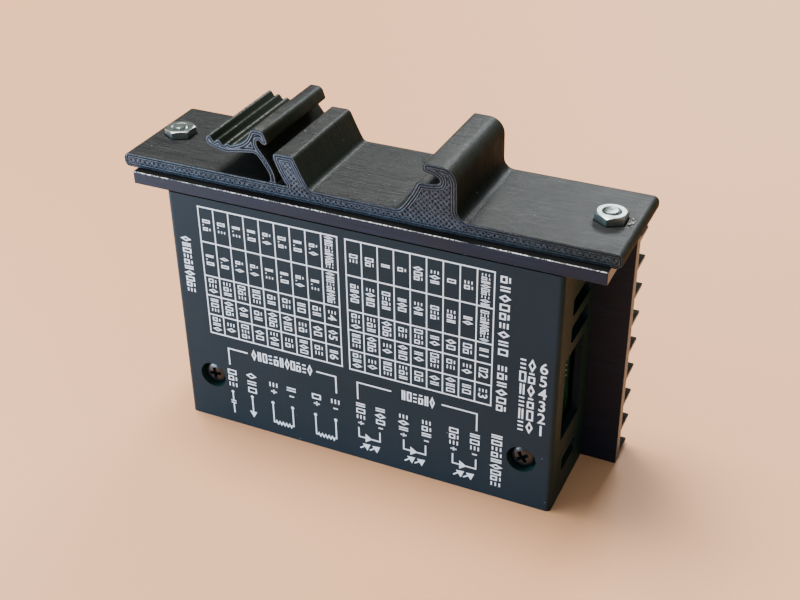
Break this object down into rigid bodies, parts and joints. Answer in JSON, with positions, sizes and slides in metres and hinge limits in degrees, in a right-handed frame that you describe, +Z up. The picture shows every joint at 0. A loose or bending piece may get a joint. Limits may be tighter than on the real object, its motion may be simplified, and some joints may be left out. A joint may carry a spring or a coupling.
{
  "type": "stepper motor driver module",
  "caption": "Boxed stepper motor driver with a finned L-shaped heat sink and a printed clip, with a sprung latch, for a 35 mm mounting rail.",
  "frame": {"origin": "middle of the footprint, on the surface that the module stands on, terminal side down", "axes": "+X along the module, away from the latch; +Y from the label face to the fins; +Z up, from the terminal side to the rail clip"},
  "size_m": [0.1008, 0.027, 0.069],
  "materials": {
    "anodised_aluminium": "black anodised extrusion with bare sawn ends",
    "cover_plastic": "dark slate moulded plastic with a fine satin texture and white printing",
    "black_steel": "black oxide steel, oiled",
    "zinc_steel": "bright zinc plating with a faint blue-green tint",
    "board_laminate": "green solder mask over glass laminate",
    "brass_spacer": "turned brass",
    "header_plastic": "black moulded nylon",
    "tinned_pin": "tin plating",
    "switch_plastic": "black moulded plastic",
    "lever_plastic": "white moulded plastic",
    "green_lens": "green tinted clear resin",
    "red_lens": "red tinted clear resin",
    "chip_resin": "black moulded resin with tinned leads",
    "thermal_silicone": "soft grey-blue silicone",
    "capacitor_sleeve": "shrunk sleeve over an aluminium can",
    "ferrite": "pressed ferrite",
    "printed_plastic": "black 3D-printed plastic with its layers stacked across the clip's width"
  },
  "bodies": {
    "module": {"heat_sink": "anodised_aluminium", "front_cover": "cover_plastic", "cover_screws": "black_steel", "circuit_board": "board_laminate", "board_spacers": "brass_spacer", "board_screws": "zinc_steel", "power_header": "header_plastic", "power_pins": "tinned_pin", "signal_header": "header_plastic", "signal_pins": "tinned_pin", "switch_body": "switch_plastic", "power_led": "green_lens", "alarm_led": "red_lens", "driver_chip": "chip_resin", "thermal_pad": "thermal_silicone", "capacitor_1": "capacitor_sleeve", "capacitor_2": "capacitor_sleeve", "optocouplers": "chip_resin", "logic_chip": "chip_resin", "regulator": "chip_resin", "inductor": "ferrite", "input_diode": "chip_resin", "sense_resistors": "chip_resin", "rail_clip": "printed_plastic", "clip_bolts": "zinc_steel", "clip_washers": "zinc_steel", "clip_nuts": "zinc_steel"},
    "latch": {"rail_latch": "printed_plastic"},
    "switch_1": {"lever_1": "lever_plastic"},
    "switch_2": {"lever_2": "lever_plastic"},
    "switch_3": {"lever_3": "lever_plastic"},
    "switch_4": {"lever_4": "lever_plastic"},
    "switch_5": {"lever_5": "lever_plastic"},
    "switch_6": {"lever_6": "lever_plastic"}
  },
  "joints": [
    {"name": "latch_flex", "type": "hinge", "parent": "module", "child": "latch", "pos_m": [-0.0174, 0, 0.05948], "axis": [0, -1, 0], "range_deg": [0, 10], "stiffness_Nm_per_rad": 0.8},
    {"name": "switch_1_slide", "type": "slide", "parent": "module", "child": "switch_1", "axis": [0, -1, 0], "range_m": [0, 0.0014]},
    {"name": "switch_2_slide", "type": "slide", "parent": "module", "child": "switch_2", "axis": [0, -1, 0], "range_m": [0, 0.0014]},
    {"name": "switch_3_slide", "type": "slide", "parent": "module", "child": "switch_3", "axis": [0, -1, 0], "range_m": [0, 0.0014]},
    {"name": "switch_4_slide", "type": "slide", "parent": "module", "child": "switch_4", "axis": [0, -1, 0], "range_m": [0, 0.0014]},
    {"name": "switch_5_slide", "type": "slide", "parent": "module", "child": "switch_5", "axis": [0, -1, 0], "range_m": [0, 0.0014]},
    {"name": "switch_6_slide", "type": "slide", "parent": "module", "child": "switch_6", "axis": [0, -1, 0], "range_m": [0, 0.0014]}
  ]
}
